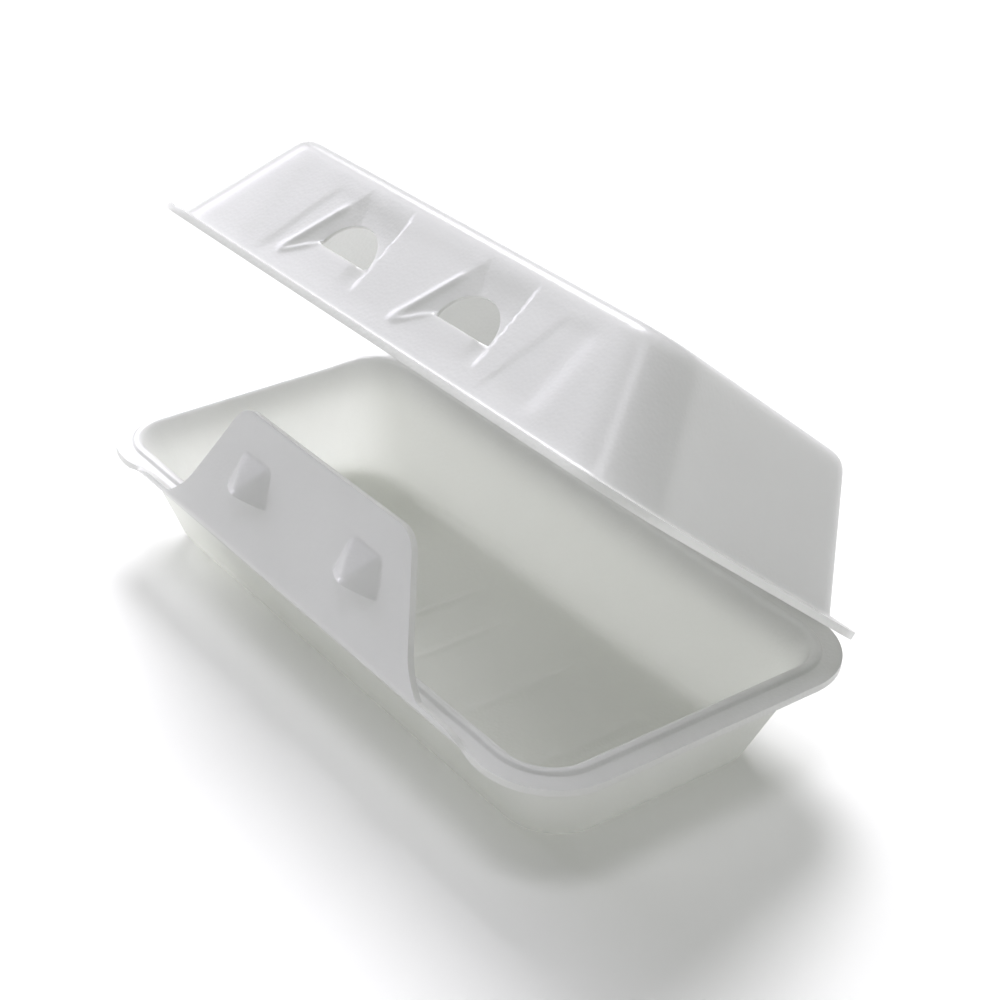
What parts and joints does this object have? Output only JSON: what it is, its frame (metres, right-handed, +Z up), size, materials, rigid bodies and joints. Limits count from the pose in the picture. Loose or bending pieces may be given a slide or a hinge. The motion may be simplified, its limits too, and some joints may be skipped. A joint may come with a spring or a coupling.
{
  "type": "foam clamshell container",
  "caption": "Long rectangular takeaway clamshell of thin white foam: a flanged tray with a leaning front lock tab, and a deep hinged lid with slots that catch the tab's hoods.",
  "frame": {"origin": "centre of the tray's underside, at table level", "axes": "+X along the length, +Y towards the hinge, the lock tab on the -Y side, +Z up"},
  "size_m": [0.248, 0.149, 0.1504],
  "materials": {
    "foam": "satin white foam skin"
  },
  "bodies": {
    "tray": {"tray": "foam"},
    "lid": {"lid": "foam"}
  },
  "joints": [
    {"name": "lid_hinge", "type": "hinge", "parent": "tray", "child": "lid", "pos_m": [0, 0.0662, 0.03955], "axis": [-1, 0, 0], "range_deg": [-38.6, 120]}
  ]
}
